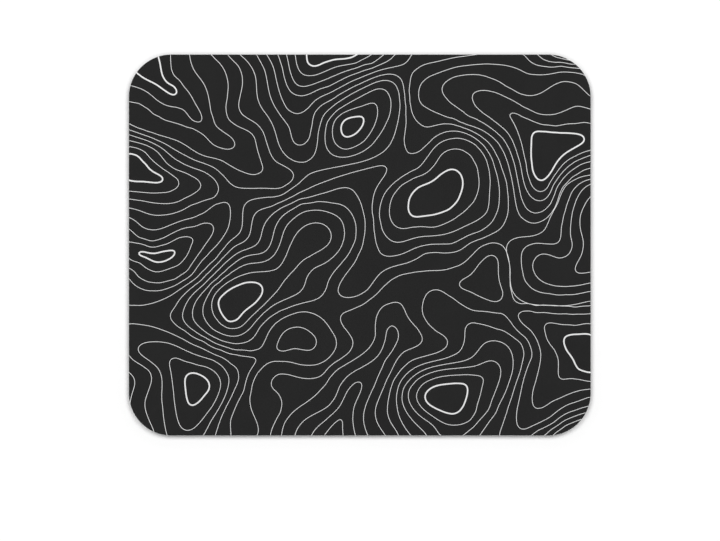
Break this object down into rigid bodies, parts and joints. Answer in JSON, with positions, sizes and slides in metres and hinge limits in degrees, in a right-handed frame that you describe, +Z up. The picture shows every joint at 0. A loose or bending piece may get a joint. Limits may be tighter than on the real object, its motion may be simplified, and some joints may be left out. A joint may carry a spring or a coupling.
{
  "type": "mouse pad",
  "caption": "Flat rectangular mouse pad with rounded corners: a printed cloth top bonded by a glue film to a foam-rubber base that grips the desk.",
  "frame": {"origin": "middle of the underside, on the desk", "axes": "+Z up out of the cloth, +X along the long side to the user's right, +Y away from the user, which is up in the picture"},
  "size_m": [0.24, 0.198, 0.003],
  "materials": {
    "black_rubber": "matte foam rubber, embossed with fine wavy ribs underneath",
    "glue_film": "thin hot-melt film, satin, seen only as a fine line on the cut edge",
    "charcoal_cloth": "fine matte polyester weave, dyed charcoal, with printed pale contour lines"
  },
  "bodies": {
    "root": {"rubber_base": "black_rubber", "bond_film": "glue_film", "printed_cloth": "charcoal_cloth"}
  },
  "joints": []
}
